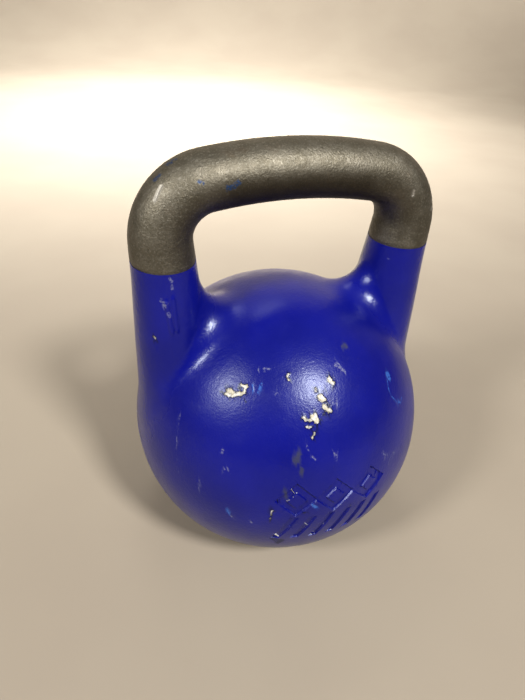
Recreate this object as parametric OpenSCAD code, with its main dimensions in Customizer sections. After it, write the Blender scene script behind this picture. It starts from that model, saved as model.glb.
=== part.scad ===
// Competition kettlebell: a hollow one-piece steel casting, skimmed with filler,
// enamelled up to the grip, weighted inside and closed by a plug in its base.
// Origin: centre of the base, on the floor. +X runs along the grip, -Y is the front.

/* [Ball] */
// Diameter of the enamelled ball
ball_d = 210; // [204:1:216]
// Height of the ball's centre above the floor
ball_h = 87; // [84:1:90]
// Diameter of the cavity inside the casting
cavity_d = 195.8; // [190:0.1:198]
// Thickness of the casting above the base
base_t = 14; // [12:1:18]

/* [Grip] */
// Thickness of the grip bar
bar_d = 34.6; // [33:0.1:38]
// Width of the grip bar from front to back
bar_depth = 36.6; // [33:0.1:38]
// Height of the bar's centre line above the floor
bar_h = 268.2; // [262:0.1:274]
// Half the spacing of the horns' centre lines at their widest
horn_x = 80.4; // [78:0.1:86]
// Radius of the centre line in the two corners
corner_r = 33; // [28:0.5:38]
// Rise of the bar between its corners
bar_rise = 4; // [2:0.1:7]
// Lean of each horn from upright, in degrees
horn_lean = 3.2; // [0:0.1:6]
// Width of a horn along the grip, at the corner
horn_w = 36.2; // [33:0.1:40]
// Width of a horn across the grip, at the corner
horn_depth = 39.4; // [36:0.1:46]
// Width of a horn along the grip, at its root
root_w = 57; // [48:0.5:60]
// Width of a horn across the grip, at its root
root_depth = 62.5; // [44:0.5:68]

/* [Root fillets] */
// Radius of the fillet on the window side of each horn
fillet_in = 29; // [20:1:36]
// Radius of the fillet on the front and back of each horn
fillet_side = 6; // [5:1:20]
// Radius of the fillet on the outer side of each horn
fillet_out = 4.5; // [2:0.5:8]

/* [Finish] */
// Height of the line where the enamel ends on both horns
paint_h = 219; // [214:0.5:222]
// Thickness of the enamel
enamel_t = 0.35; // [0.25:0.05:0.6]
// Thickness of the filler on the ball
filler_t = 0.9; // [0.6:0.1:1.4]
// Thickness of the filler at its feathered edge
filler_edge_t = 0.2; // [0.15:0.05:0.4]
// Height of the bare rim round the base
coat_base = 2; // [2:0.5:5]

/* [Base] */
// Diameter of the turned recess in the base
recess_d = 84; // [70:1:90]
// Depth of the turned recess in the base
recess_t = 1.5; // [1:0.5:3]
// Diameter of the filling hole
hole_d = 36; // [30:1:40]
// Diameter of the plug's flange
flange_d = 46; // [42:1:52]
// Thickness of the plug's flange
flange_t = 4; // [3:0.5:5]
// Thickness of the sealing washer
washer_t = 1.5; // [1:0.5:2]
// Size across the flats of the plug's hexagon socket
hex_af = 17; // [14:1:19]
// Depth of the plug's hexagon socket
hex_t = 7; // [5:1:8]
// Depth of the ballast above the cavity's floor
ballast_t = 20.5; // [10:0.5:60]

/* [Mark] */
// Height of one row of the recessed pattern
mark_row = 24; // [20:1:30]
// Width of the recessed pattern
mark_w = 74; // [60:1:92]
// Width of a groove in the pattern
groove_w = 5; // [3:0.5:6]
// Depth of a groove in the pattern
groove_t = 1.2; // [0.8:0.1:2]

/* [Hidden] */

gap = 0.1;                  // air between pieces that lie on each other
far = 400;                  // longer than anything here
ball_r = ball_d / 2;
cavity_r = cavity_d / 2;
steps = 40;                 // points round a ring of the horns
root_n = 11;                // rings from the horn down to the ball
corner_n = 8;               // rings round a corner
bar_n = 4;                  // rings along half of the bar

// The handle's centre line, measured from the ball's centre: an upright line in each
// horn, an arc in each corner and one flat arc along the bar, each touching the next.
bar_z = bar_h - ball_h;
corner_x = horn_x - corner_r;
corner_z = bar_z - bar_rise - corner_r;
corner_drop = corner_r + bar_rise;
arc_r = (pow(corner_x, 2) + pow(corner_drop, 2) - pow(corner_r, 2)) / (2 * bar_rise);
arc_start = atan2(arc_r - corner_drop, corner_x);

// Heights on the horn, measured from the ball's centre
root_z = 20;
root_top = 112;
paint_z = paint_h - ball_h;
bare_z = paint_z + 0.8;
fade_z = 40;                // height over which the filler thins out

// The last ring lies in a tilted plane just under the ball's surface
toe_tilt = 46.7;
toe_dist = 82.8;
toe_sink = 0.6;
root_lift = 0.25;           // keeps the other rings clear of the ball's surface

function lerp(a, b, t) = a + (b - a) * t;
function clamp01(t) = min(1, max(0, t));

// Place and half widths of a horn at a height z
function axis_x(z) = corner_x + (corner_r + (z - corner_z) * sin(horn_lean)) / cos(horn_lean);
function horn_t(z) = clamp01((z - root_z) / (corner_z - root_z));
function half_w(z) = lerp(root_w, horn_w, horn_t(z)) / 2;
function half_depth(z) = lerp(root_depth, horn_depth, horn_t(z)) / 2;

// Distance of a point from the +X horn: a tapered cone of oval section with a round end
function horn_gap(p) =
    let (a = half_w(p[2]), s = half_depth(p[2]) / a,
         dx = p[0] - axis_x(p[2]), dz = min(p[2] - root_z, 0),
         q = max(norm([dx, p[1] / s, dz]), 0.001),
         slope = max(norm([dx, p[1] / (s * s), dz]) / q, 0.3))
    (q - a) * cos(horn_lean) / slope;

// Radius of the root fillet by the side of the horn that it is on
function fillet(p) =
    let (c = (horn_x - p[0]) / norm([horn_x - p[0], p[1], 0.001]))
    lerp(fillet_side, c > 0 ? fillet_in : fillet_out, c * c);

// Distance from the outside of horn and ball together, with the fillet between them
function body_gap(p) =
    let (h = horn_gap(p), b = norm(p) - ball_r, k = fillet(p))
    max(k, min(h, b)) - norm([max(k - h, 0), max(k - b, 0)]);

// How far along d from o the surface lies that is `depth` under the outside
function reach(o, d, depth, low = 0, high = 100, n = 17) =
    n == 0 ? (low + high) / 2
    : let (mid = (low + high) / 2)
      body_gap(o + d * mid) + depth < 0 ? reach(o, d, depth, mid, high, n - 1)
                                        : reach(o, d, depth, low, mid, n - 1);

// Depth of each surface under the outside, by its number:
// 0 enamel outside, 1 enamel inside, 2 filler outside, 3 filler inside, 4 steel
function fade(z) = clamp01((root_top - z) / fade_z);
function filler_in(z) = enamel_t + gap + lerp(filler_edge_t, filler_t, fade(z));
function steel_in(z) =
    z > paint_z ? 0 : z > root_top ? enamel_t + gap : filler_in(z) + gap;
function depth(level, z) =
    [0, enamel_t, enamel_t + gap, filler_in(z), steel_in(z)][level];

// Planes of the rings up a horn, from the toe: [x, z, tilt]
root_planes = [for (i = [root_n : -1 : 1]) let (u = i / root_n)
    [lerp(axis_x(root_top), toe_dist * sin(toe_tilt), u),
     lerp(root_top, toe_dist * cos(toe_tilt), u), toe_tilt * u]];
function upright(heights) = [for (z = heights) [axis_x(z), z, 0]];
bare_planes = concat(root_planes, upright([root_top, root_top + 0.5, lerp(root_top, paint_z, 0.5),
                                           paint_z, bare_z, lerp(bare_z, corner_z, 0.5)]));

// One ring where a plane cuts the surface of a level
function cut_ring(plane, level) =
    let (toe = plane[2] == toe_tilt, o = [plane[0], 0, plane[1]],
         out = [cos(plane[2]), 0, -sin(plane[2])],
         under = depth(level, plane[1]))
    [for (j = [0 : steps - 1])
        let (d = cos(360 * j / steps) * out + [0, sin(360 * j / steps), 0])
        o + d * (toe ? sqrt(pow(ball_r - under - toe_sink, 2) - pow(toe_dist, 2))
                     : reach(o, d, under - (plane[1] < root_top ? root_lift : 0)))];

// One oval ring about o, with half widths a (in the handle's plane) and b (across it)
function oval_ring(o, angle, a, b) =
    [for (j = [0 : steps - 1])
        o + [cos(angle), 0, sin(angle)] * a * cos(360 * j / steps) + [0, b * sin(360 * j / steps), 0]];
function corner_ring(t) =
    let (angle = lerp(-horn_lean, arc_start, t))
    oval_ring([corner_x + corner_r * cos(angle), 0, corner_z + corner_r * sin(angle)],
              angle, lerp(horn_w, bar_d, t) / 2, lerp(horn_depth, bar_depth, t) / 2);
function bar_ring(t) =
    let (angle = lerp(arc_start, 90, t))
    oval_ring([arc_r * cos(angle), 0, bar_z - arc_r + arc_r * sin(angle)], angle,
              bar_d / 2, bar_depth / 2);

function mirrored(rings) =
    [for (i = [len(rings) - 1 : -1 : 0]) [for (p = rings[i]) [-p[0], p[1], p[2]]]];

// Solid skinned over a list of rings, closed flat at both ends
module skin(rings) {
    last = len(rings) - 1;
    sides = [for (i = [0 : last - 1], j = [0 : steps - 1])
        let (k = (j + 1) % steps, a = i * steps, b = a + steps)
        each [[a + j, b + k, a + k], [a + j, b + j, b + k]]];
    ends = [[for (j = [0 : steps - 1]) j], [for (j = [steps - 1 : -1 : 0]) last * steps + j]];
    polyhedron(points = [for (r = rings) each r], faces = concat(sides, ends), convexity = 6);
}

// Bare handle with both roots: the surface of the steel
module steel_handle() {
    side = concat([for (p = bare_planes) cut_ring(p, 4)],
                  [for (i = [0 : corner_n]) corner_ring(i / corner_n)],
                  [for (i = [1 : bar_n - 1]) bar_ring(i / bar_n)]);
    skin(concat(side, [bar_ring(1)], mirrored(side)));
}

// Both horn roots up to a height, for the coats
module coat_roots(level, top) {
    heights = top > root_top ? [root_top, root_top + 0.5, lerp(root_top, paint_z, 0.5), top] : [top];
    rings = [for (p = concat(root_planes, upright(heights))) cut_ring(p, level)];
    skin(rings);
    mirror([1, 0, 0]) skin(rings);
}

// Outline of the recessed pattern, its grooves widened by `grow` on each side
module mark_outline(grow) {
    w = groove_w + 2 * grow;
    pitch = mark_w / 3;
    side = (mark_row - groove_w) / sqrt(2);
    for (i = [-1 : 1]) translate([i * pitch, mark_row / 2 + 1.5]) rotate(45) difference() {
        square(side + w, center = true);
        square(side - w, center = true);
    }
    bars = 6;
    lean = 9;
    for (i = [0 : bars - 1]) translate([lerp(-1, 1, i / (bars - 1)) * (mark_w - lean - w) / 2, -mark_row / 2 - 1.5])
        polygon([for (s = [-1, 1], c = [-1, 1])
            [s * lean / 2 + s * c * w / 2, s * (mark_row / 2 + grow)]]);
}

// The space of the grooves at a depth under the outside
module mark_space(under) {
    difference() {
        rotate([90, 0, 0]) linear_extrude(height = ball_r + 5) mark_outline(under);
        sphere(r = ball_r - groove_t - under, $fn = 96);
    }
}

module ball(r) {
    sphere(r = r, $fn = 96);
}

// Everything inside the surface of a coat's level, up to a height on the horns
module coat_solid(level, top) {
    under = depth(level, 0);
    difference() {
        union() {
            ball(ball_r - under);
            coat_roots(level, top);
        }
        mark_space(under);
    }
}

module below(h) {
    translate([-far / 2, -far / 2, h - far]) cube(far);
}

module from_centre() {
    translate([0, 0, ball_h]) children();
}

module cavity(clearance = 0) {
    difference() {
        from_centre() ball(cavity_r - clearance);
        below(base_t + clearance);
    }
}

flange_z = recess_t + 0.5;
seat_z = flange_z + flange_t + washer_t;

// Hollow steel casting: ball wall, base, horns and grip in one piece
module cast_body() {
    color("dimgray") difference() {
        from_centre() difference() {
            union() {
                ball(ball_r - steel_in(0));
                steel_handle();
            }
            mark_space(steel_in(0));
        }
        below(0);
        cavity();
        translate([0, 0, -1]) cylinder(h = recess_t + 1, d = recess_d, $fn = 96);
        cylinder(h = seat_z, d = flange_d + 0.6, $fn = 96);
        cylinder(h = base_t + 1, d = hole_d, $fn = 96);
    }
}

// Skim of filler between the steel and the enamel
module filler_coat() {
    color("cornsilk") difference() {
        from_centre() difference() {
            coat_solid(2, root_top);
            coat_solid(3, root_top + 4);
        }
        below(coat_base);
    }
}

// Enamel over the ball and the lower horns
module enamel_coat() {
    color("mediumblue") difference() {
        from_centre() difference() {
            coat_solid(0, paint_z);
            coat_solid(1, paint_z + 4);
        }
        below(coat_base);
    }
}

// Rigid foam that fills the upper cavity and holds the ballast down
module foam_fill() {
    color("khaki") difference() {
        cavity(gap);
        below(base_t + ballast_t + gap);
    }
}

// Iron shot set in resin on the cavity's floor
module ballast() {
    color("slategray") intersection() {
        cavity(gap);
        below(base_t + ballast_t);
    }
}

// Flanged steel plug with a hexagon socket, screwed into the filling hole
module base_plug() {
    stub_r = hole_d / 2 - gap / 2;
    chamfer = 1.2;
    color("silver") difference() {
        translate([0, 0, flange_z]) rotate_extrude($fn = 96) polygon([
            [0, 0], [flange_d / 2 - 0.8, 0], [flange_d / 2, 0.8], [flange_d / 2, flange_t],
            [stub_r, flange_t], [stub_r, base_t - flange_z - chamfer - 0.5],
            [stub_r - chamfer, base_t - flange_z - 0.5], [0, base_t - flange_z - 0.5]]);
        translate([0, 0, flange_z - 1]) rotate(30) cylinder(h = hex_t + 1, d = hex_af / cos(30), $fn = 6);
    }
}

// Fibre washer squeezed between the plug's flange and its seat
module plug_seal() {
    color("firebrick") translate([0, 0, flange_z + flange_t]) difference() {
        cylinder(h = washer_t, d = flange_d - 1, $fn = 96);
        translate([0, 0, -1]) cylinder(h = washer_t + 2, d = hole_d + 0.4, $fn = 96);
    }
}

cast_body();
filler_coat();
enamel_coat();
foam_fill();
ballast();
base_plug();
plug_seal();
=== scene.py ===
"""The looks of a competition kettlebell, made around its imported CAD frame.

Shapes are worked out in millimetres from the centre of the ball, and become metres in the
frame when they are made into meshes. +X runs along the grip and -Y is the front.
"""

import math

import bpy
import numpy as np
from mathutils import Matrix, Vector, noise


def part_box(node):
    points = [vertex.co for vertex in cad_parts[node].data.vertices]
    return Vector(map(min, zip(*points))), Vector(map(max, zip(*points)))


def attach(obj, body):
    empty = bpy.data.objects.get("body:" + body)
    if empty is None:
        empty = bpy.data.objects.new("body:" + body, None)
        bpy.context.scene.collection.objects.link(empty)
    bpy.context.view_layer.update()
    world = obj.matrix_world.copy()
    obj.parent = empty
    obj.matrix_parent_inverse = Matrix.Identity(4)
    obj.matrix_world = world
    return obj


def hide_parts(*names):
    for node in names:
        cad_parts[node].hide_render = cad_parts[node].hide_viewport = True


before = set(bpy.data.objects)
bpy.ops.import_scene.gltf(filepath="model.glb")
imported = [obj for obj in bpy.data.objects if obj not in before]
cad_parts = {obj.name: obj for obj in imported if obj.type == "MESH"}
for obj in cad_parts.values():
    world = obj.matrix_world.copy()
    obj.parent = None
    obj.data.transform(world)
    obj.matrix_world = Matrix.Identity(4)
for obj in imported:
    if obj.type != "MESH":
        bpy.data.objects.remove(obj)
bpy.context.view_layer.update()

# ------------------------------------------------------------------ sizes from the frame

MM = 0.001                                  # a millimetre in metres
TINY = 1e-9                                 # keeps a division clear of 0
FAR = 1e3                                   # further away than anything on the bell
# In the names of sizes _R is a radius, _D a diameter, _W a width, _T a thickness or depth, and
# _Z a height from the ball's centre. Sizes are in millimetres, angles in radians.


def node_box(name):
    """Lowest and highest corner of a CAD node in millimetres, rounded to a tenth."""
    low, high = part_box(name)
    return np.round(np.array(low) / MM, 1), np.round(np.array(high) / MM, 1)


ENAMEL_LOW, ENAMEL_HIGH = node_box("enamel_coat")
FOAM_LOW, FOAM_HIGH = node_box("foam_fill")
PLUG_LOW, PLUG_HIGH = node_box("base_plug")
SEAT_H = node_box("plug_seal")[1][2]        # height of the washer's top above the floor
GAP = 0.1                                   # air between pieces that lie on each other
BALL_R = round((ENAMEL_HIGH[0] - ENAMEL_LOW[0]) / 2)
CAVITY_R = (FOAM_HIGH[0] - FOAM_LOW[0]) / 2 + GAP
BALL_H = round(FOAM_HIGH[2] - CAVITY_R + GAP)   # height of the ball's centre above the floor
TOP = node_box("cast_body")[1][2] - BALL_H
PAINT_Z = ENAMEL_HIGH[2] - BALL_H
COAT_BASE = ENAMEL_LOW[2] - BALL_H
FLOOR_Z = -BALL_H

# Sizes that the frame's boxes don't tell.
# Handle: half the horns' spacing, the corners, the bar's rise between them, the horns' lean
HORN_X, CORNER_R, BAR_RISE, LEAN = 80.4, 33.0, 4.0, math.radians(3.2)
BAR_D, BAR_DEPTH = 34.6, 36.6
# Horns: widths along and across the grip, at the corner and at the root
HORN_W, HORN_DEPTH, ROOT_W, ROOT_DEPTH = 36.2, 39.4, 57.0, 62.5
# Root fillets on the window's side, at front and back, and on the outer side
FILLET_IN, FILLET_SIDE, FILLET_OUT = 29.0, 6.0, 4.5
# Heights where the horn's taper starts and the filler ends, and over which the filler thins out
ROOT_Z, ROOT_TOP, FADE = 20.0, 112.0, 40.0
# Cone about the middle of a root, where horn and ball have merged: its tilt and half its angle
TOE_TILT, TOE_CONE = math.radians(46.7), math.radians(38.0)
ENAMEL_T, FILLER_T, FILLER_EDGE_T = 0.35, 0.9, 0.2
RECESS_R, RECESS_T, HOLE_R, BASE_T = 42.0, 1.5, 18.0, 14.0
# Recessed pattern: a row's height, half the gap between the two rows, widths, depth of a groove
MARK_ROW, MARK_GAP, MARK_W, GROOVE_W, GROOVE_T = 24.0, 1.5, 74.0, 5.0, 1.2
# How far a groove's wall slopes out and in from the groove's edge
WALL_OUT, WALL_IN = 0.25, 0.35

# The handle's centre line: upright in the horns, an arc in each corner, one flat arc in the bar
BAR_Z = TOP - BAR_D / 2
CORNER_X = HORN_X - CORNER_R
CORNER_Z = BAR_Z - BAR_RISE - CORNER_R
DROP = CORNER_R + BAR_RISE
ARC_R = (CORNER_X ** 2 + DROP ** 2 - CORNER_R ** 2) / (2 * BAR_RISE)
ARC_START = math.atan2(ARC_R - DROP, CORNER_X)
TOE_DIST = BALL_R * math.cos(TOE_CONE)
WINDOW_Z = (BALL_R + BAR_Z) / 2             # about the middle of the window

# ------------------------------------------------------------------ shape of the outside


def lerp(a, b, t):
    return a + (b - a) * t


def smooth(t):
    """0 up to t = 0, 1 from t = 1, and a soft step between them."""
    t = np.clip(t, 0, 1)
    return t * t * (3 - 2 * t)


def axis_x(z):
    """Place of a horn's centre line at a height."""
    return CORNER_X + (CORNER_R + (z - CORNER_Z) * math.sin(LEAN)) / math.cos(LEAN)


def half_widths(t):
    """Half widths of a horn: t is 0 at its root, 1 at the corner and more round the corner."""
    soft = 0.2
    u = 1 - np.maximum(t, 0)
    u = np.where(u > soft, u, np.where(u < -soft, 0, (u + soft) ** 2 / (4 * soft)))
    return lerp(HORN_W, ROOT_W, u) / 2, lerp(HORN_DEPTH, ROOT_DEPTH, u) / 2


def oval(a, b, across, y, along=0.0):
    """Distance outside an oval tube with half widths a and b, with a round end along it."""
    s, least_slope = b / a, 0.3
    q = np.sqrt(across ** 2 + (y / s) ** 2 + along ** 2) + TINY
    slope = np.sqrt(across ** 2 + (y / s ** 2) ** 2 + along ** 2) / q
    return (q - a) / np.maximum(slope, least_slope)


def horn_gap(p):
    """Distance outside the horns alone."""
    x, y, z = np.abs(p[..., 0]), p[..., 1], p[..., 2]
    a, b = half_widths((z - ROOT_Z) / (CORNER_Z - ROOT_Z))
    return oval(a, b, x - axis_x(z), y, np.minimum(z - ROOT_Z, 0)) * math.cos(LEAN)


def body_gap(p):
    """Distance outside the ball and the horns, with the root fillets between them."""
    x, y = np.abs(p[..., 0]), p[..., 1]
    horn, ball = horn_gap(p), np.linalg.norm(p, axis=-1) - BALL_R
    inward = HORN_X - x
    c = inward / np.sqrt(inward ** 2 + y ** 2 + TINY)
    k = lerp(FILLET_SIDE, np.where(c > 0, FILLET_IN, FILLET_OUT), c * c)
    meet = np.sqrt(np.maximum(k - horn, 0) ** 2 + np.maximum(k - ball, 0) ** 2)
    return np.maximum(k, np.minimum(horn, ball)) - meet


def grip_gap(p):
    """Distance outside the corners and the bar."""
    x, y, z = np.abs(p[..., 0]), p[..., 1], p[..., 2]
    turned = np.arctan2(z - CORNER_Z, x - CORNER_X) + LEAN
    a, b = half_widths(1 + np.maximum(turned, 0) * CORNER_R / (CORNER_Z - ROOT_Z))
    t = smooth(turned / (ARC_START + LEAN))
    a = a + (BAR_D - HORN_W) / 2 * t
    b = b + (BAR_DEPTH - HORN_DEPTH) / 2 * t
    corner = oval(a, b, np.hypot(x - CORNER_X, z - CORNER_Z) - CORNER_R, y)
    from_arc = z - BAR_Z + ARC_R
    bar = oval(BAR_D / 2, BAR_DEPTH / 2, np.hypot(x, from_arc) - ARC_R, y)
    return np.where(np.arctan2(from_arc, x) > ARC_START, bar, corner)


def outside(p):
    """Distance of points from the outside of the whole bell: below 0 inside it."""
    x, z = np.abs(p[..., 0]), p[..., 2]
    above = (z - CORNER_Z) * math.cos(LEAN) + (x - CORNER_X) * math.sin(LEAN) > 0
    return np.where(above, grip_gap(p), body_gap(p))


def facing(p):
    """Unit directions straight out of the surface."""
    steps = np.eye(3) * 0.2
    slope = np.stack([outside(p + s) - outside(p - s) for s in steps], axis=-1)
    return slope / np.linalg.norm(slope, axis=-1, keepdims=True)


# Depth of each surface under the outside, by its height

def enamel_depth(z):
    return np.zeros_like(z)


def filler_depth(z):
    return np.full_like(z, ENAMEL_T + GAP)


def filler_thickness(z):
    return lerp(FILLER_EDGE_T, FILLER_T, np.clip((ROOT_TOP - z) / FADE, 0, 1))


def steel_depth(z):
    """Under both coats, then under the enamel alone, then bare above the paint line."""
    filler_step, lip, enamel_step = 4.0, 0.3, 1.2
    coated = ENAMEL_T + 2 * GAP + filler_thickness(z)
    painted = lerp(coated, ENAMEL_T + GAP, smooth((z - ROOT_TOP) / filler_step))
    return painted * (1 - smooth((z - PAINT_Z - lip) / enamel_step))


# ------------------------------------------------------------------ sheets: rings of points


ON_MIDDLE = 1e-6                            # a smaller x lies on the plane between the halves


def cast(origins, directions, depth, reach):
    """Points where rays from inside the bell meet the surface at a depth under the outside."""
    low = np.zeros(directions.shape[:-1])
    high = np.full_like(low, reach)
    halvings = 24
    for _ in range(halvings):
        mid = (low + high) / 2
        p = origins + directions * mid[..., None]
        inside = outside(p) + depth(p[..., 2]) < 0
        low, high = np.where(inside, mid, low), np.where(inside, high, mid)
    return origins + directions * high[..., None]


def grip_planes(rows):
    """Planes of rings from the middle of the bar round a corner to the paint line."""
    bar, corner, horn = rows
    planes = [(ARC_R * math.cos(a), BAR_Z - ARC_R + ARC_R * math.sin(a), a)
              for a in np.linspace(math.pi / 2, ARC_START, bar, endpoint=False)]
    planes += [(CORNER_X + CORNER_R * math.cos(a), CORNER_Z + CORNER_R * math.sin(a), a)
               for a in np.linspace(ARC_START, -LEAN, corner, endpoint=False)]
    start = CORNER_Z - CORNER_R * math.sin(LEAN)
    planes += [(axis_x(z), z, -LEAN * (z - PAINT_Z) / (start - PAINT_Z))
               for z in np.linspace(start, PAINT_Z, horn, endpoint=False)]
    return planes


def root_planes(top, rows):
    """Planes of rings from a height on the horn to the toe, where horn and ball merge."""
    high, root = rows
    planes = [(axis_x(z), z, 0.0) for z in np.linspace(top, ROOT_TOP, high, endpoint=False)]
    toe_x, toe_z = TOE_DIST * math.sin(TOE_TILT), TOE_DIST * math.cos(TOE_TILT)
    return planes + [(lerp(axis_x(ROOT_TOP), toe_x, u), lerp(ROOT_TOP, toe_z, u), -TOE_TILT * u)
                     for u in np.linspace(0, 1, root)]


def horn_rings(planes, turns, depth):
    """Rings of points where the planes cut the surface round the +X side of the handle."""
    centre = np.array([[x, 0, z] for x, z, _ in planes])[:, None]
    out = np.array([[math.cos(tilt), 0, math.sin(tilt)] for _, _, tilt in planes])[:, None]
    aside = np.array([0, 1, 0])
    directions = out * np.cos(turns)[None, :, None] + aside * np.sin(turns)[None, :, None]
    return cast(np.broadcast_to(centre, directions.shape), directions, depth, reach=100.0)


def ball_rings(turns, depth, base, rows):
    """Rings of points from the toe over the +X half of the ball to x = 0 and to the base."""
    cos_t, sin_t = math.cos(TOE_TILT), math.sin(TOE_TILT)
    r = BALL_R - depth(np.array([base]))[0]
    to_middle = np.arctan2(sin_t, -np.cos(turns) * cos_t)
    length = np.hypot(cos_t, np.cos(turns) * sin_t)
    down = np.clip(base / r / length, -1, 1)
    to_base = np.arccos(down) - np.arctan2(np.cos(turns) * sin_t, cos_t)
    to_base = np.where(np.abs(base / r / length) < 1, to_base, math.pi)
    end = np.minimum(to_middle, to_base)
    cone = TOE_CONE + (end - TOE_CONE) * np.linspace(0, 1, rows + 1)[1:, None]
    root = np.array([sin_t, 0, cos_t])
    out = np.array([cos_t, 0, -sin_t])
    around = out * np.cos(turns)[:, None] + np.array([0, 1, 0]) * np.sin(turns)[:, None]
    directions = root * np.cos(cone)[..., None] + around * np.sin(cone)[..., None]
    rings = cast(np.zeros_like(directions), directions, depth, reach=130.0)
    rings[-1, to_middle <= to_base, 0] = 0
    rings[-1, to_base < to_middle, 2] = base
    return rings


def turns_of(count, depth, base):
    """Angles round a horn, with one on each corner where x = 0 meets the base."""
    turns = np.linspace(-math.pi, math.pi, count, endpoint=False)
    r = BALL_R - depth(np.array([base]))[0]
    corner = math.atan2(math.sqrt(r * r - base * base), -base * math.sin(TOE_TILT))
    for angle in (corner, -corner):
        turns[np.argmin(np.abs(turns - angle))] = angle
    return turns


def half_sheet(planes, count, depth, base, ball_rows):
    """Points and triangles of one surface over the +X half, in rings of `count` points."""
    turns = turns_of(count, depth, base)
    rings = np.concatenate([horn_rings(planes, turns, depth),
                            ball_rings(turns, depth, base, ball_rows)])
    if planes[0][0] < ON_MIDDLE:
        rings[0, :, 0] = 0
    rows, columns = rings.shape[:2]
    first = np.arange(rows - 1)[:, None] * columns + np.arange(columns)
    aside = np.arange(rows - 1)[:, None] * columns + np.roll(np.arange(columns), -1)
    quads = np.stack([first, first + columns, aside + columns, aside], axis=-1).reshape(-1, 4)
    tris = np.concatenate([quads[:, [0, 1, 2]], quads[:, [0, 2, 3]]])
    return rings.reshape(-1, 3), tris


def merged(points, tris):
    """Joins points that coincide, to four digits, and drops triangles that vanish."""
    _, keep, index = np.unique(np.round(points, 4), axis=0, return_index=True,
                               return_inverse=True)
    tris = index.reshape(-1)[tris]
    a, b, c = tris.T
    return points[keep], tris[(a != b) & (b != c) & (c != a)]


def full_sheet(planes, count, depth, base, ball_rows):
    """Points and triangles of one surface over both halves, facing out."""
    points, tris = half_sheet(planes, count, depth, base, ball_rows)
    twin = points * [-1, 1, 1]
    tris = np.concatenate([tris, tris[:, ::-1] + len(points)])
    points, tris = merged(np.concatenate([points, twin]), tris)
    a, b, c = (points[tris[:, i]] for i in range(3))
    across = np.cross(b - a, c - a)
    if (across * facing((a + b + c) / 3)).sum() < 0:
        tris = tris[:, ::-1]
    return points, tris


# ------------------------------------------------------------------ finer triangles and cuts


def edges_of(tris):
    """Each edge once, and the numbers of every triangle's three edges."""
    pairs = np.sort(tris[:, [[0, 1], [1, 2], [2, 0]]].reshape(-1, 2), axis=1)
    edges, index = np.unique(pairs, axis=0, return_inverse=True)
    return edges, index.reshape(-1, 3)


def divide(points, tris, edges, index, cut, share):
    """Puts a point on each cut edge, at its share of the way, and splits the triangles there."""
    a, b = points[edges[cut, 0]], points[edges[cut, 1]]
    added = a + (b - a) * share[cut, None]
    new = np.full(len(edges), -1)
    new[cut] = len(points) + np.arange(cut.sum())
    mid = new[index]
    split = (mid >= 0).sum(axis=1)
    turn = np.zeros(len(tris), int)
    turn[split == 1] = np.argmax(mid[split == 1] >= 0, axis=1)
    turn[split == 2] = np.argmax(mid[split == 2] < 0, axis=1) + 1
    order = (turn[:, None] + np.arange(3)) % 3
    corner = np.take_along_axis(tris, order, axis=1)
    mid = np.take_along_axis(mid, order, axis=1)
    (a, b, c), (m, n, o) = corner.T, mid.T
    whole, one, two, three = (split == k for k in range(4))
    parts = [corner[whole]]
    for which, corners in ((one, (a, m, c)), (one, (m, b, c)),
                           (two, (m, b, n)), (two, (a, m, n)), (two, (a, n, c)),
                           (three, (a, m, o)), (three, (m, b, n)), (three, (o, n, c)),
                           (three, (m, n, o))):
        parts.append(np.stack([k[which] for k in corners], axis=1))
    return np.concatenate([points, added]), np.concatenate(parts)


def settle(points, depth, start):
    """Moves the points from number `start` on onto the surface at their depth."""
    p = points[start:]
    moves = 3
    for _ in range(moves):
        p = p - facing(p) * (outside(p) + depth(p[:, 2]))[:, None]
    points[start:] = p
    return points


def refine(points, tris, depth, wanted):
    """Halves edges that are much longer than the length wanted at their middle."""
    passes, too_long = 4, 1.35
    for _ in range(passes):
        edges, index = edges_of(tris)
        a, b = points[edges[:, 0]], points[edges[:, 1]]
        cut = np.linalg.norm(b - a, axis=1) > too_long * wanted((a + b) / 2)
        used = np.zeros(len(edges))
        np.add.at(used, index.ravel(), 1)
        cut &= used > 1
        if not cut.any():
            break
        count = len(points)
        points, tris = divide(points, tris, edges, index, cut, np.full(len(edges), 0.5))
        points = settle(points, depth, count)
    return points, tris


def cut_along(points, tris, depth, value, least=0.02):
    """Puts edges along value = 0. Returns the mesh and each triangle's side, 1 where above 0."""
    v = value(points)
    edges, index = edges_of(tris)
    a, b = v[edges[:, 0]], v[edges[:, 1]]
    cut = (a > 0) != (b > 0)
    share = np.clip(a / np.where(cut, a - b, 1), least, 1 - least)
    count = len(points)
    points, tris = divide(points, tris, edges, index, cut, share)
    points = settle(points, depth, count)
    v = np.concatenate([v, np.zeros(len(points) - count)])
    return points, tris, v[tris].sum(axis=1) > 0


def used_only(points, tris):
    """Drops the points that no triangle has."""
    used, index = np.unique(tris, return_inverse=True)
    return points[used], index.reshape(-1, 3)


def rim_pairs(tris):
    """Edges that only one triangle has, in that triangle's direction."""
    pairs = tris[:, [[0, 1], [1, 2], [2, 0]]].reshape(-1, 2)
    _, index, count = np.unique(np.sort(pairs, axis=1), axis=0, return_inverse=True,
                                return_counts=True)
    return pairs[count[index.reshape(-1)] == 1]


def thicken(points, tris, normals, thickness):
    """A closed shell: the sheet, a copy of it further in, and strips along every rim."""
    n = len(points)
    inner = points - normals * thickness[:, None]
    a, b = rim_pairs(tris).T
    strips = np.concatenate([np.stack([b, a, a + n], 1), np.stack([b, a + n, b + n], 1)])
    return np.concatenate([points, inner]), np.concatenate([tris, tris[:, ::-1] + n, strips])


# ------------------------------------------------------------------ recessed pattern


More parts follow.
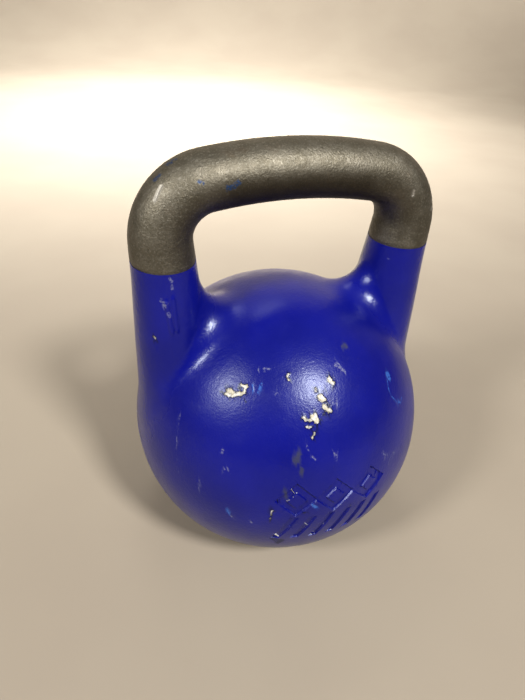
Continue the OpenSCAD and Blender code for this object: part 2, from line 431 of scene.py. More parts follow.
def mark_edge(p):
    """Distance from the edge of the recessed pattern, below 0 inside its grooves."""
    x, z = p[:, 0], p[:, 2]
    pitch = MARK_W / 3
    half_row = MARK_ROW / 2
    side = (MARK_ROW - GROOVE_W) / math.sqrt(2)
    edge = np.full(len(p), FAR)
    for i in (-1, 0, 1):
        rim = (np.abs(x - i * pitch) + np.abs(z - half_row - MARK_GAP)) / math.sqrt(2) - side / 2
        edge = np.minimum(edge, np.abs(rim) - GROOVE_W / 2)
    bars, lean = 6, 9.0
    square_on = MARK_ROW / math.hypot(MARK_ROW, lean)
    for x0 in np.linspace(-1, 1, bars) * (MARK_W - lean - GROOVE_W) / 2:
        up = z + half_row + MARK_GAP
        aside = (np.abs(x - x0 - lean * up / MARK_ROW) - GROOVE_W / 2) * square_on
        edge = np.minimum(edge, np.maximum(aside, np.abs(up) - half_row))
    return np.where(p[:, 1] < 0, edge, FAR)


def groove(p):
    """How far the surface lies under the ball in the grooves."""
    return GROOVE_T * smooth((WALL_OUT - mark_edge(p)) / (WALL_OUT + WALL_IN))


def engrave(points, tris, depth):
    """Puts edges along the top and the bottom of the grooves' walls."""
    for level in (WALL_OUT, (WALL_OUT - WALL_IN) / 2, -WALL_IN):
        points, tris, _ = cut_along(points, tris, depth, lambda p: mark_edge(p) - level)
    return points, tris


# ------------------------------------------------------------------ noise and marks


def clouds(points, size, octaves=2, seed=0):
    """Smooth noise of about -1 to 1, with features of a size in millimetres."""
    shift = Vector((3.7, 9.1, 5.3)) * seed
    return np.array([noise.fractal(Vector(p) / size + shift, 1.0, 2.0, octaves) for p in points])


def ball_point(lon, lat):
    """Point on the ball, in degrees round from the front and up from the middle."""
    lon, lat = math.radians(lon), math.radians(lat)
    return BALL_R * np.array([math.sin(lon) * math.cos(lat), -math.cos(lon) * math.cos(lat),
                              math.sin(lat)])


def ball_points(*places):
    """Points on the ball, each given as its two angles."""
    return [ball_point(*place) for place in places]


def from_line(p, ends):
    """Distance from a line through a few points."""
    best = np.full(len(p), FAR)
    for a, b in zip(ends[:-1], ends[1:]):
        a, b = np.array(a, float), np.array(b, float)
        t = np.clip((p - a) @ (b - a) / max((b - a) @ (b - a), TINY), 0, 1)
        best = np.minimum(best, np.linalg.norm(p - a - t[:, None] * (b - a), axis=1))
    return best


# Every mark is a line of points and half its width in millimetres. The points are in degrees
# on the ball, and in millimetres on the horns and the grip.

# Chips through the enamel
CHIPS = [
    # the hook on the left, and the sliver beside it
    (ball_points((-46, 41), (-43, 41), (-40, 42), (-38, 43), (-38, 45), (-40, 45)), 1.1),
    (ball_points((-45, 42), (-43, 42)), 1.6),
    (ball_points((-18, 51), (-19, 50), (-18, 49)), 0.6),
    # the trail down the front
    (ball_points((2, 48), (3, 47)), 1.9),
    (ball_points((-6, 46), (-6, 45)), 0.7),
    (ball_points((-4, 43), (-3, 42)), 1.8),
    (ball_points((-3, 40), (-1, 38)), 1.4),
    (ball_points((-8, 37), (-7, 36)), 2.1),
    (ball_points((-12, 37), (-11, 36), (-9, 36)), 0.9),
    (ball_points((-11, 34), (-9, 34)), 0.8),
    (ball_points((-8, 32), (-9, 30)), 0.5),
    # small ones at the pattern, one on the left horn, three on the back and the right
    (ball_points((-22, 3), (-21, 3)), 0.3),
    (ball_points((-22, 1), (-22, -2)), 0.3),
    (ball_points((-11, 2), (-10, 2)), 0.3),
    ([(-91, -20, 92), (-90, -20, 89)], 0.7),
    (ball_points((150, 38), (153, 36)), 1.6),
    (ball_points((154, 33), (155, 31)), 0.9),
    (ball_points((118, -12), (120, -13)), 1.2),
]

# Pale scratches in the enamel
SCRATCHES = [
    (ball_points((-34, 52), (-34, 51)), 0.3),
    (ball_points((-31, 52), (-28, 52)), 0.3),
    (ball_points((-24, 44), (-23, 45)), 0.3),
    (ball_points((9, 53), (10, 52), (11, 50)), 0.4),
    (ball_points((10, 50), (12, 49)), 0.4),
    (ball_points((8, 52), (10, 51)), 1.0),
    (ball_points((0, 41), (3, 40)), 0.5),
    (ball_points((-41, 23), (-41, 22)), 0.7),
    (ball_points((-1, 24), (0, 23)), 0.6),
    (ball_points((-9, 24), (-8, 23)), 0.4),
    (ball_points((-11, 28), (-11, 27)), 0.4),
    (ball_points((-40, 16), (-38, 17)), 0.2),
    (ball_points((-48, 8), (-48, 3)), 0.2),
    (ball_points((-36, -3), (-35, -4)), 0.4),
    (ball_points((-29, -4), (-28, -5)), 0.4),
    (ball_points((20, 17), (22, 15), (26, 12)), 0.3),
    (ball_points((32, 12), (29, 13), (25, 12), (24, 10)), 0.3),
    (ball_points((50, 28), (50, 26)), 0.4),
    (ball_points((-62, 28), (-60, 18), (-57, 6)), 0.2),
    ([(-80, -21, 130), (-79, -21, 128)], 0.8),
    ([(-79, -21, 126), (-79, -22, 123)], 0.6),
    ([(-86, -21, 116), (-82, -22, 115)], 0.4),
    ([(-84, -21, 115), (-84, -22, 113)], 1.1),
    ([(-82, -23, 109), (-82, -23, 107)], 0.9),
    ([(64, -15, 124), (67, -16, 124)], 0.4),
    (ball_points((170, 20), (165, 24), (163, 29)), 0.3),
    (ball_points((95, 10), (99, 8), (101, 3)), 0.3),
    (ball_points((-150, 5), (-146, 1)), 0.4),
]

# Light blue spots and scratches, where an older coat shows
LIGHTS = [
    (ball_points((37, 40), (37, 39)), 2.2),
    (ball_points((35, 39), (33, 36), (33, 33), (35, 30), (38, 28), (40, 29)), 0.3),
    (ball_points((-31, 47), (-32, 44)), 0.4),
    (ball_points((-35, 46), (-34, 44)), 0.4),
    (ball_points((-37, -1), (-36, -3)), 0.5),
    (ball_points((-8, 5), (-7, 4)), 1.1),
    (ball_points((-120, 30), (-117, 26)), 0.4),
]

# Dull dark rubs on the enamel
RUBS = [
    (ball_points((-15, 23), (-14, 25)), 1.7),
    (ball_points((-13, 20), (-13, 19)), 1.1),
    (ball_points((-18, 12), (-17, 8)), 1.0),
    (ball_points((19, 57), (20, 57)), 1.7),
    (ball_points((-21, -15), (-17, -16), (-18, -20)), 1.7),
    (ball_points((140, 12), (143, 14)), 2.0),
]

# Thin dark cracks and scrapes down to the steel, round the chips
CRACKS = [
    (ball_points((-3, 38), (-5, 36), (-7, 34)), 0.5),
    (ball_points((-2, 41), (-1, 40)), 1.1),
    (ball_points((-5, 45), (-4, 44)), 0.5),
    (ball_points((-6, 43), (-5, 42)), 0.5),
    (ball_points((-3, 45), (-1, 45)), 0.5),
    (ball_points((-45, 40), (-40, 41)), 0.3),
    (ball_points((-41, 44), (-40, 44)), 0.8),
    (ball_points((-49, 41), (-47, 41)), 0.4),
    (ball_points((-37, 41), (-36, 40)), 0.4),
]

# Broad scuffed patches, where the gloss has gone
SCUFFS = [
    (ball_points((-44, 40), (-34, 36)), 17.0),
    (ball_points((40, 35), (60, 10)), 16.0),
    (ball_points((150, 35), (175, 30)), 18.0),
]

# Ridges where the enamel ran
RUNS = [
    ([(-83, -22, 115), (-81, -24, 96)], 0.5),
    ([(-79, -22, 117), (-78, -24, 97)], 0.5),
    ([(84, 21, 118), (82, 24, 100)], 1.3),
]

# Specks of the blue enamel left on the bare grip
SPECKS = [
    ([(-74, -2, 187), (-70, -2, 189)], 1.5),
    ([(-82, -5, 180), (-80, -5, 182)], 1.0),
    ([(-61, -17, 182), (-60, -17, 181)], 1.1),
    ([(-46, -18, 178), (-45, -18, 178)], 1.5),
    ([(-42, -18, 179), (-40, -18, 180)], 1.3),
]

# Nicks in the bare grip
NICKS = [
    ([(-80, -11, 178), (-84, -13, 172)], 0.8),
    ([(91, -14, 164), (90, -15, 161)], 1.0),
    ([(90, -15, 157), (90, -16, 156)], 0.9),
    ([(71, -19, 170), (71, -19, 167)], 0.6),
    ([(-30, 9, 197), (-27, 10, 196)], 0.9),
]


def nearest(p, marks):
    """How far inside the nearest mark a point lies: above 0 inside."""
    return np.max([half - from_line(p, line) for line, half in marks], axis=0)


def chip(p):
    """Above 0 where the enamel is chipped off, with a broken edge."""
    deep, margin = nearest(p, CHIPS), 3.0
    near = deep > -margin
    rough = np.zeros(len(p))
    rough[near] = 1.1 * clouds(p[near], 1.9, 3, seed=1)
    return np.where(near, deep + rough, deep)


# ------------------------------------------------------------------ meshes


def make_piece(name, points, tris, layers, sharp=38):
    """Mesh object in metres in the frame, smooth apart from edges over `sharp` degrees.

    Each layer is a number for every point, which the piece's material reads by its name.
    """
    mesh = bpy.data.meshes.new(name)
    mesh.vertices.add(len(points))
    mesh.vertices.foreach_set("co", ((points + [0, 0, BALL_H]) * MM).astype(np.float32).ravel())
    mesh.loops.add(3 * len(tris))
    mesh.loops.foreach_set("vertex_index", tris.astype(np.int32).ravel())
    mesh.polygons.add(len(tris))
    mesh.polygons.foreach_set("loop_start", np.arange(0, 3 * len(tris), 3, dtype=np.int32))
    mesh.update(calc_edges=True)
    for layer, values in layers.items():
        data = mesh.attributes.new(layer, "FLOAT", "POINT").data
        data.foreach_set("value", values.astype(np.float32))
    mesh.validate()
    mesh.shade_smooth()
    mesh.set_sharp_from_angle(angle=math.radians(sharp))
    piece = bpy.data.objects.new(name, mesh)
    bpy.context.scene.collection.objects.link(piece)
    return piece


def soft_edge(inside, width=0.35):
    """0 outside a mark, 1 inside it."""
    return smooth(0.5 + inside / width / 2)


def ragged(p, marks, depth, size, seed, width=0.35):
    """0 outside marks, 1 inside them, with an edge that noise has broken up."""
    return soft_edge(nearest(p, marks) + depth * clouds(p, size, 3, seed=seed), width)


def enamel_detail(p):
    """Length wanted for the edges of triangles: short at marks and at the grooves' walls."""
    plain, at_wall, at_rub, at_mark = 4.8, 0.9, 1.2, 0.58
    length = np.where(np.abs(mark_edge(p)) < 1.1, at_wall, plain)
    length = np.where(nearest(p, RUNS) > -1.1, at_rub, length)
    length = np.where(nearest(p, RUBS) > -0.6, at_rub, length)
    length = np.where(nearest(p, SCRATCHES + LIGHTS + CRACKS) > -0.8, at_mark, length)
    return np.where(nearest(p, CHIPS) > -1.2, at_mark, length)


def enamel_relief(p):
    """How far the enamel stands out from its plain surface, in millimetres."""
    lumps = 0.16 * clouds(p, 34, 2) + 0.035 * clouds(p, 9, 2, seed=2)
    plain = smooth((PAINT_Z - 1 - p[:, 2]) / 8) * smooth((p[:, 2] - COAT_BASE) / 6)
    runs = 0.8 * smooth(1 + nearest(p, RUNS) / 1.1)
    lifted = 0.10 * np.exp(-np.abs(chip(p)) / 0.5)
    scratched = 0.10 * soft_edge(nearest(p, SCRATCHES + LIGHTS), 0.5)
    return lumps * plain + runs + lifted - scratched - groove(p)


def enamel_scuff(p):
    """How dull the enamel is: not on the horns, more over the ball, most in the patches."""
    off_horns = smooth((horn_gap(p) - 2) / 10)
    return 0.72 * off_horns + 0.28 * smooth(0.5 + nearest(p, SCUFFS) / 14)


def enamel_piece():
    """Enamel: a thin shell with its chips cut out, and the pattern and scratches pressed in."""
    planes = root_planes(PAINT_Z, rows=(9, 34))
    points, tris = full_sheet(planes, count=192, depth=enamel_depth, base=COAT_BASE, ball_rows=30)
    points, tris = refine(points, tris, enamel_depth, enamel_detail)
    points, tris = engrave(points, tris, enamel_depth)
    points, tris, chipped = cut_along(points, tris, enamel_depth, chip, least=0.1)
    points, tris = used_only(points, tris[~chipped])
    normals = facing(points)
    pale = ragged(points, SCRATCHES, 0.4, 1.6, seed=3)
    light = ragged(points, LIGHTS, 0.4, 1.6, seed=3)
    rub = ragged(points, RUBS, 1.6, 3.5, seed=4, width=0.9)
    crack = ragged(points, CRACKS, 0.8, 1.7, seed=9, width=0.4)
    # rim: the real cracks, and a painted shade in a thin band along each chip's edge
    rim = np.maximum(crack, soft_edge(chip(points) + 0.55, 0.5))
    scuff = enamel_scuff(points)
    points = points + normals * enamel_relief(points)[:, None]
    points, tris = thicken(points, tris, normals, np.full(len(points), ENAMEL_T))
    layers = {"pale": pale, "light": light, "rub": rub, "rim": rim, "scuff": scuff}
    layers = {name: np.tile(values, 2) for name, values in layers.items()}
    return make_piece("enamel_shell", points, tris, layers)


def filler_detail(p):
    """Length wanted for the edges of triangles: short where a chip shows the filler."""
    plain, at_wall, at_chip = 5.0, 1.1, 0.5
    length = np.where(np.abs(mark_edge(p)) < 1.3, at_wall, plain)
    return np.where(nearest(p, CHIPS) > -1.2, at_chip, length)


def filler_piece():
    """Skim of filler under the enamel, rough and broken where a chip shows it."""
    planes = root_planes(ROOT_TOP, rows=(1, 26))
    points, tris = full_sheet(planes, count=144, depth=filler_depth, base=COAT_BASE, ball_rows=22)
    points, tris = refine(points, tris, filler_depth, filler_detail)
    points, tris = engrave(points, tris, filler_depth)
    normals = facing(points)
    seen = soft_edge(nearest(points, CHIPS) + 0.8, 1.2)
    broken = 0.14 * clouds(points, 1.5, 3, seed=5) - 0.05
    # painted shade: a dark band on the filler right at each chip's edge, where the enamel's step
    # throws shade
    edge_shade = soft_edge(-np.abs(chip(points)) + 0.25, 0.5) * seen
    relief = seen * broken
    thickness = filler_thickness(points[:, 2]) + relief
    points = points + normals * (relief - groove(points))[:, None]
    points, tris = thicken(points, tris, normals, thickness)
    return make_piece("filler_skim", points, tris, {"edge_shade": np.tile(edge_shade, 2)})


def rim_loop(points, tris):
    """Numbers of the points on the open rim, in order of their angle round the base."""
    rim = np.unique(rim_pairs(tris))
    return rim[np.argsort(np.arctan2(points[rim, 1], points[rim, 0]))]


def base_profile():
    """Radius and height of the turned base and the cavity, from the rim to the cavity's top."""
    edge, clearance = 0.4, 0.3
    seat_r = (PLUG_HIGH[0] - PLUG_LOW[0]) / 2 + clearance
    start = math.asin((BASE_T - BALL_H) / CAVITY_R)
    outer = math.sqrt((BALL_R - steel_depth(np.array([FLOOR_Z]))[0]) ** 2 - FLOOR_Z ** 2)
    profile = [(r, 0) for r in np.linspace(outer - 1, RECESS_R + edge, 5)]
    profile += [(RECESS_R, edge), (RECESS_R, RECESS_T)]
    profile += [(r, RECESS_T) for r in np.linspace(RECESS_R, seat_r + edge, 6)[1:]]
    profile += [(seat_r, RECESS_T + edge), (seat_r, SEAT_H), (HOLE_R + edge, SEAT_H)]
    profile += [(HOLE_R, SEAT_H + edge), (HOLE_R, BASE_T)]
    profile = [(r, z + FLOOR_Z) for r, z in profile]
    profile += [(CAVITY_R * math.cos(a), CAVITY_R * math.sin(a))
                for a in np.linspace(start, math.pi / 2, 26, endpoint=False)]
    return profile


def add_base(points, tris):
    """Closes the casting with its turned base and the cavity inside."""
    rim = rim_loop(points, tris)
    angle = np.arctan2(points[rim, 1], points[rim, 0])
    rings = [rim]
    for r, z in base_profile():
        ring = np.stack([r * np.cos(angle), r * np.sin(angle), np.full(len(rim), z)], axis=1)
        rings.append(len(points) + np.arange(len(rim)))
        points = np.concatenate([points, ring])
    closing = []
    for low, high in zip(rings[:-1], rings[1:]):
        a, b, c, d = low, np.roll(low, -1), np.roll(high, -1), high
        closing += [np.stack([a, c, b], axis=1), np.stack([a, d, c], axis=1)]
    top = len(points)
    points = np.concatenate([points, [[0, 0, CAVITY_R]]])
    last = rings[-1]
    closing.append(np.stack([last, np.full(len(last), top), np.roll(last, -1)], axis=1))
    return points, np.concatenate([tris] + closing)


def steel_detail(p):
    """Length wanted for the edges of triangles: short at nicks, specks and the pattern."""
    plain, at_wall, at_nick = 30.0, 1.3, 0.55
    length = np.where(np.abs(mark_edge(p)) < 1.3, at_wall, plain)
    bare = p[:, 2] > PAINT_Z
    return np.where(bare & (nearest(p, NICKS + SPECKS) > -1.0), at_nick, length)


def grip_relief(p):
    """Cast skin of the bare grip: fine pebbles, broad unevenness and a few nicks."""
    bare = smooth((p[:, 2] - PAINT_Z - 1) / 4)
    pebbles = np.zeros(len(p))
    seen = bare > 0
    pebbles[seen] = 0.06 * clouds(p[seen], 2.2, 2, seed=6) + 0.04 * clouds(p[seen], 18, 2, seed=7)
    nicks = 0.45 * smooth(0.3 + nearest(p, NICKS) / 1.2)
    return bare * (pebbles - nicks)


def grip_painted_shade(p, normals):
    """How much painted shade darkens the grip: most on the bar's side that faces the window, none
    at the paint.
    """
    out = np.stack([p[:, 0], np.zeros(len(p)), p[:, 2] - WINDOW_Z], axis=1)
    inward = -(normals * out).sum(axis=1) / np.linalg.norm(out, axis=1)
    past_bar, corner_fade, paint_fade, on_horns = 12.0, 22.0, 12.0, 0.4
    bar = smooth((CORNER_X + past_bar - np.abs(p[:, 0])) / corner_fade)
    high = smooth((p[:, 2] - PAINT_Z) / paint_fade)
    return high * lerp(on_horns, 1.0, bar) * smooth((inward + 0.5) / 0.8)


def steel_piece():
    """The casting: its outer surface, its turned base and the cavity inside."""
    planes = grip_planes(rows=(46, 62, 12)) + root_planes(PAINT_Z, rows=(5, 14))
    points, tris = full_sheet(planes, count=136, depth=steel_depth, base=FLOOR_Z, ball_rows=14)
    points, tris = refine(points, tris, steel_depth, steel_detail)
    points, tris = engrave(points, tris, steel_depth)
    speck = ragged(points, SPECKS, 1.3, 2.2, seed=8, width=0.6)
    nick = soft_edge(nearest(points, NICKS) + 0.3, 0.6)
    normals = facing(points)
    # painted shade: the grip is darkened where it faces the window, in place of the shade that
    # falls there
    painted_shade = grip_painted_shade(points, normals)
    middle = np.abs(points[:, 0]) < ON_MIDDLE
    relief = grip_relief(points) - groove(points)
    moved = points + normals * relief[:, None]
    moved[middle, 0] = 0
    outer = len(points)
    points, tris = add_base(moved, tris)
    padding = np.zeros(len(points) - outer)
    layers = {"speck": speck, "nick": nick, "painted_shade": painted_shade}
    layers = {name: np.concatenate([values, padding]) for name, values in layers.items()}
    return make_piece("casting", points, tris, layers, sharp=32)


# ------------------------------------------------------------------ materials


class Shader:
    """A material with one Principled shader and short calls for the nodes before it."""

    def __init__(self, name):
        self.material = bpy.data.materials.new(name)
        self.material.use_nodes = True
        self.nodes = self.material.node_tree.nodes
        self.links = self.material.node_tree.links
        self.surface = self.nodes["Principled BSDF"]
        self.place = self.nodes.new("ShaderNodeTexCoord").outputs["Object"]

    def put(self, socket, value):
        if isinstance(value, bpy.types.NodeSocket):
            self.links.new(value, socket)
        else:
            socket.default_value = value

    def add(self, kind, output=0, settings=None, **inputs):
        node = self.nodes.new(kind)
        for key, value in (settings or {}).items():
            setattr(node, key, value)
        for key, value in inputs.items():
            key = int(key[1:]) if key[0] == "_" else key.replace("_", " ")
            self.put(node.inputs[key], value)
        return node.outputs[output]

    def set(self, **inputs):
        for key, value in inputs.items():
            self.put(self.surface.inputs[key.replace("_", " ")], value)

    def noise(self, size, detail, roughness=0.5):
        """Noise from 0 to 1 with features of a size in millimetres."""
        return self.add("ShaderNodeTexNoise", Vector=self.place, Scale=1 / (size * MM),
                        Detail=detail, Roughness=roughness)

    def cells(self, size):
        """Distance from the middle of round cells of a size in millimetres."""
        return self.add("ShaderNodeTexVoronoi", "Distance", Vector=self.place,
                        Scale=1 / (size * MM))

    def layer(self, name):
        """A number that the piece's points carry."""
        return self.add("ShaderNodeAttribute", "Fac", {"attribute_name": name})

    def math(self, operation, a, b):
        return self.add("ShaderNodeMath", 0, {"operation": operation}, _0=a, _1=b)

    def times(self, a, b):
        return self.math("MULTIPLY", a, b)

    def plus(self, a, b):
        return self.math("ADD", a, b)

    def ramp(self, value, low, high, start=0.0, end=1.0):
        """Turns low..high into start..end, smoothly."""
        return self.add("ShaderNodeMapRange", 0, {"interpolation_type": "SMOOTHSTEP"},
                        Value=value, From_Min=low, From_Max=high, To_Min=start, To_Max=end)

    def mix(self, share, a, b):
        """Colour a, turning into b as the share goes from 0 to 1."""
        node = self.nodes.new("ShaderNodeMix")
        node.data_type = "RGBA"
        self.put(node.inputs[0], share)
        self.put(node.inputs[6], a)
        self.put(node.inputs[7], b)
        return node.outputs[2]

    def bump(self, height, depth, normal=None):
        """Bump with a depth in millimetres for a height from 0 to 1."""
        inputs = {"Height": height, "Distance": depth * MM, "Strength": 1.0}
        if normal is not None:
            inputs["Normal"] = normal
        return self.add("ShaderNodeBump", 0, **inputs)


def rgb(red, green, blue):
    return (red, green, blue, 1.0)


def enamel_plain(s):
    """Deep blue, slightly clouded, with patches of fine dust."""
    deep, bright = rgb(0.0018, 0.0032, 0.130), rgb(0.0028, 0.0045, 0.162)
    colour = s.mix(s.ramp(s.noise(38, 3), 0.3, 0.7), deep, bright)
    dust = s.times(s.ramp(s.noise(0.9, 3, 0.7), 0.66, 0.74),
                   s.ramp(s.noise(30, 2), 0.48, 0.62))
    return s.mix(s.times(dust, 0.16), colour, rgb(0.065, 0.07, 0.28))


def enamel_colour(s, scraped):
    """The plain colour with dark broken rims (the cracks, and painted shade along the chips'
    edges), rubs, pale scratches and light blue spots.
    """
    # near black along the rims: the cracks, and painted shade at the chips' edges
    rim = s.times(s.layer("rim"), s.ramp(s.noise(1.5, 3, 0.7), 0.34, 0.48, 0.25, 0.92))
    light = s.times(s.layer("light"), s.ramp(s.noise(1.3, 2, 0.6), 0.30, 0.50))
    colour = s.mix(rim, enamel_plain(s), rgb(0.003, 0.003, 0.018))
    colour = s.mix(s.times(s.layer("rub"), 0.85), colour, rgb(0.023, 0.025, 0.055))
    colour = s.mix(scraped, colour, rgb(0.12, 0.125, 0.23))
    return s.mix(light, colour, rgb(0.024, 0.085, 0.34))


def enamel_gloss(s, scraped):
    """Roughness, higher where the enamel is worn, scuffed, scratched or rubbed."""
    worn = s.times(s.ramp(s.noise(14, 3), 0.45, 0.72), 0.05)
    gloss = s.plus(s.plus(worn, s.times(s.layer("scuff"), 0.10)), 0.22)
    return s.plus(s.plus(gloss, s.times(scraped, 0.3)), s.times(s.layer("rub"), 0.3))


def enamel_peel(s):
    """Orange peel in several sizes. Scuffing has flattened one of the coarser ones."""
    peel = s.bump(s.noise(1.1, 2, 0.6), 0.085)
    peel = s.bump(s.noise(2.6, 2, 0.55), 0.09, peel)
    peel = s.bump(s.noise(7, 2), 0.06, peel)
    glossy = s.math("SUBTRACT", 1.0, s.layer("scuff"))
    return s.bump(s.times(s.noise(3.8, 3, 0.6), glossy), 0.24, peel)


def enamel_material():
    s = Shader("blue_enamel")
    scraped = s.times(s.layer("pale"), s.ramp(s.noise(1.4, 3, 0.7), 0.40, 0.58))
    s.set(Base_Color=enamel_colour(s, scraped), Roughness=enamel_gloss(s, scraped),
          Normal=enamel_peel(s), IOR=1.40, Specular_Tint=rgb(0.76, 0.84, 1.0))
    return s.material


def filler_material():
    """Cream filler with dark specks, and painted shade round the edge of a chip."""
    s = Shader("filler")
    white, cream = rgb(0.57, 0.57, 0.55), rgb(0.44, 0.41, 0.31)
    colour = s.mix(s.ramp(s.noise(2.6, 3, 0.6), 0.40, 0.60), white, cream)
    specks = s.ramp(s.noise(1.3, 3, 0.7), 0.57, 0.66)
    colour = s.mix(s.times(specks, 0.5), colour, rgb(0.15, 0.145, 0.15))
    # painted shade along the edge of a chip
    colour = s.mix(s.times(s.layer("edge_shade"), 0.8), colour, rgb(0.06, 0.05, 0.05))
    s.set(Base_Color=colour, Roughness=s.ramp(s.noise(2, 2), 0.3, 0.7, 0.7, 0.95),
          Normal=s.bump(s.noise(0.7, 4, 0.7), 0.12))
    return s.material


def bare_steel(s):
    """Brownish grey cast skin with bright tops, dark pits and a little rust."""
    dark, pale = rgb(0.116, 0.105, 0.080), rgb(0.153, 0.140, 0.112)
    colour = s.mix(s.ramp(s.noise(11, 4, 0.6), 0.35, 0.68), dark, pale)
    tops = s.ramp(s.noise(1.3, 3, 0.6), 0.50, 0.68)
    colour = s.mix(s.times(tops, 0.6), colour, rgb(0.235, 0.222, 0.186))
    pits = s.ramp(s.noise(1.5, 3, 0.65), 0.44, 0.30)
    colour = s.mix(s.times(pits, 0.6), colour, rgb(0.080, 0.072, 0.054))
    rust = s.ramp(s.noise(19, 3), 0.60, 0.74)
    return s.mix(s.times(rust, 0.14), colour, rgb(0.15, 0.08, 0.04))


def grip_material():
    """The bare skin with painted shade towards the window, bright nicks and specks of old paint."""
    s = Shader("cast_steel")
    colour = bare_steel(s)
    # painted shade: near black mixed in on the side that faces the window
    colour = s.mix(s.times(s.layer("painted_shade"), 0.85), colour, rgb(0.034, 0.028, 0.020))
    colour = s.mix(s.times(s.layer("nick"), 0.6), colour, rgb(0.50, 0.48, 0.44))
    paint = s.times(s.layer("speck"), s.ramp(s.noise(1.2, 2), 0.36, 0.5))
    colour = s.mix(s.times(paint, 0.8), colour, rgb(0.02, 0.06, 0.17))
    gloss = s.ramp(s.noise(6, 3), 0.3, 0.7, 0.52, 0.60)
    grain = s.bump(s.noise(0.9, 2, 0.6), 0.17)
    grain = s.bump(s.noise(1.8, 2, 0.55), 0.15, grain)
    s.set(Base_Color=colour, Metallic=1.0, Roughness=gloss, Normal=grain)
    return s.material


def turned_material(name, colour):
    """Steel turned on a lathe about the bell's upright axis."""
    s = Shader(name)
    rings = s.add("ShaderNodeTexWave", "Fac", {"bands_direction": "Z", "wave_type": "RINGS",
                                               "rings_direction": "Z"},
                  Vector=s.place, Scale=1 / (2.2 * MM), Distortion=0.6)
    tone = s.ramp(s.noise(7, 3), 0.35, 0.7)
    dull = rgb(*(0.6 * c for c in colour))
    s.set(Base_Color=s.mix(tone, rgb(*colour), dull), Metallic=1.0,
          Roughness=s.ramp(s.noise(3, 2), 0.3, 0.7, 0.28, 0.46),
          Normal=s.bump(rings, 0.02))
    return s.material


def grained_material(name, colour, other, size, roughness, depth):
    """Matt grains of two colours, for the foam, the washer and the shot in resin."""
    s = Shader(name)
    tone = s.ramp(s.cells(size), 0.15, 0.55)
    s.set(Base_Color=s.mix(tone, rgb(*colour), rgb(*other)),
          Roughness=s.ramp(s.noise(4 * size, 2), 0.3, 0.7, roughness - 0.1, roughness),
          Normal=s.bump(s.cells(size), depth))
    return s.material


def dress(piece, material):
    """Gives a new piece its material."""
    piece.data.materials.clear()
    piece.data.materials.append(material)


def dress_node(name, material):
    """Gives a CAD node that stays visible its material."""
    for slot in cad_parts[name].material_slots:
        slot.material = material


# ------------------------------------------------------------------ stage


def stage_bowl():
    """Pale floor that turns up into a wall all round, far from the bell."""
    flat, bend, wall = 2.6, 1.2, 5.5
    profile = [(0, 0), (0.5, 0), (flat, 0)]
    profile += [(flat + bend * math.sin(a), bend - bend * math.cos(a))
                for a in np.linspace(0, math.pi / 2, 13)[1:]]
    profile.append((flat + bend, wall))
    sides = 96
    points = [(r * math.cos(a), r * math.sin(a), z) for r, z in profile
              for a in np.linspace(0, 2 * math.pi, sides, endpoint=False)]
    faces = [(i * sides + j, i * sides + (j + 1) % sides,
              (i + 1) * sides + (j + 1) % sides, (i + 1) * sides + j)
             for i in range(len(profile) - 1) for j in range(sides)]
    mesh = bpy.data.meshes.new("studio_floor")
    mesh.from_pydata(points, [], faces)
    mesh.shade_smooth()
    floor = bpy.data.objects.new("studio_floor", mesh)
    bpy.context.scene.collection.objects.link(floor)
    s = Shader("studio_floor")
    tone = s.ramp(s.noise(240, 3), 0.3, 0.7)
    s.set(Base_Color=s.mix(tone, rgb(0.262, 0.224, 0.178), rgb(0.280, 0.242, 0.192)), Roughness=0.8)
    dress(floor, s.material)


def area_light(name, toward, distance, size, power, aim=None, spread=180):
    """Round soft light in a direction from the ball's centre, as azimuth and elevation.

    It shines at the ball, or at the point `aim` in metres, over `spread` degrees.
    """
    azimuth, elevation = (math.radians(a) for a in toward)
    out = Vector((math.sin(azimuth) * math.cos(elevation),
                  -math.cos(azimuth) * math.cos(elevation), math.sin(elevation)))
    data = bpy.data.lights.new(name, "AREA")
    data.shape = "DISK"
    data.size = size
    data.energy = power
    data.color = (1.0, 0.97, 0.92)
    data.spread = math.radians(spread)
    light = bpy.data.objects.new(name, data)
    light.location = Vector((0, 0, BALL_H * MM)) + out * distance
    back = light.location - Vector(aim) if aim else out
    light.rotation_euler = back.to_track_quat("Z", "Y").to_euler()
    bpy.context.scene.collection.objects.link(light)


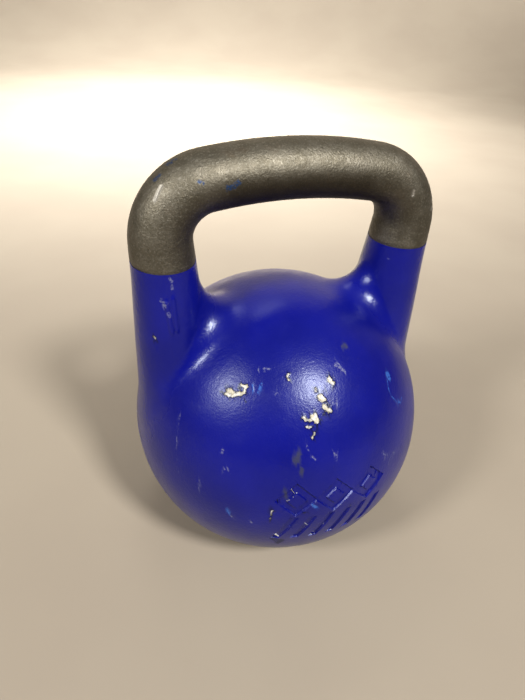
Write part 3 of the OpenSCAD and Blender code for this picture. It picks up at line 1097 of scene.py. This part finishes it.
def lights():
    """Two lamps on the bell, one on the wall and one on the floor behind it, and a dim sky."""
    area_light("lamp_left", (-70, 38), distance=1.9, size=0.36, power=29)
    area_light("lamp_front", (19, 48), distance=1.9, size=0.36, power=51)
    area_light("lamp_wall", (150, 62), distance=2.1, size=1.4, power=290, aim=(1.1, 2.9, 3.0))
    area_light("lamp_back", (172, 55), distance=2.4, size=1.0, power=68, aim=(0.3, 1.7, 0),
               spread=84)
    world = bpy.data.worlds.new("studio")
    world.use_nodes = True
    sky = world.node_tree.nodes["Background"]
    sky.inputs["Color"].default_value = rgb(1.0, 0.97, 0.93)
    sky.inputs["Strength"].default_value = 0.13
    bpy.context.scene.world = world


def tones():
    """Shows colours as they are, with no film curve."""
    bpy.context.scene.view_settings.view_transform = "Standard"


def camera():
    """Close view from the front left and above, slightly rolled."""
    at = Vector((-122.5, -274.8, 262.6 + BALL_H)) * MM
    aim = Vector((-1.9, 28.6, 32.7 + BALL_H)) * MM
    roll = math.radians(3.74)
    data = bpy.data.cameras.new("camera")
    data.lens = 26.0
    data.sensor_width = 36.0
    data.clip_start = 0.01
    cam = bpy.data.objects.new("camera", data)
    turn = (at - aim).to_track_quat("Z", "Y").to_matrix()
    cam.matrix_world = Matrix.Translation(at) @ (turn @ Matrix.Rotation(roll, 3, "Z")).to_4x4()
    bpy.context.scene.collection.objects.link(cam)
    bpy.context.scene.camera = cam


# ------------------------------------------------------------------ the scene


def build_pieces():
    """Makes the three outer pieces, each in place of its CAD node."""
    for make, node, slot, material in (
            (enamel_piece, "enamel_coat", "blue_enamel", enamel_material),
            (filler_piece, "filler_coat", "filler", filler_material),
            (steel_piece, "cast_body", "cast_steel", grip_material)):
        piece = make()
        dress(piece, material())
        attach(piece, "root")
        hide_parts(node)


def dress_nodes():
    """Materials of the inner pieces, whose CAD nodes stay."""
    dress_node("base_plug", turned_material("turned_steel", (0.55, 0.54, 0.52)))
    dress_node("plug_seal", grained_material("red_fibre", (0.30, 0.04, 0.03), (0.20, 0.03, 0.02),
                                             size=0.8, roughness=0.85, depth=0.05))
    dress_node("foam_fill", grained_material("rigid_foam", (0.72, 0.62, 0.34), (0.52, 0.42, 0.20),
                                             size=1.6, roughness=0.95, depth=0.4))
    dress_node("ballast", grained_material("iron_shot_resin", (0.10, 0.10, 0.11),
                                           (0.28, 0.24, 0.20), size=3.0, roughness=0.6, depth=0.8))


camera()
tones()
stage_bowl()
lights()
build_pieces()
dress_nodes()
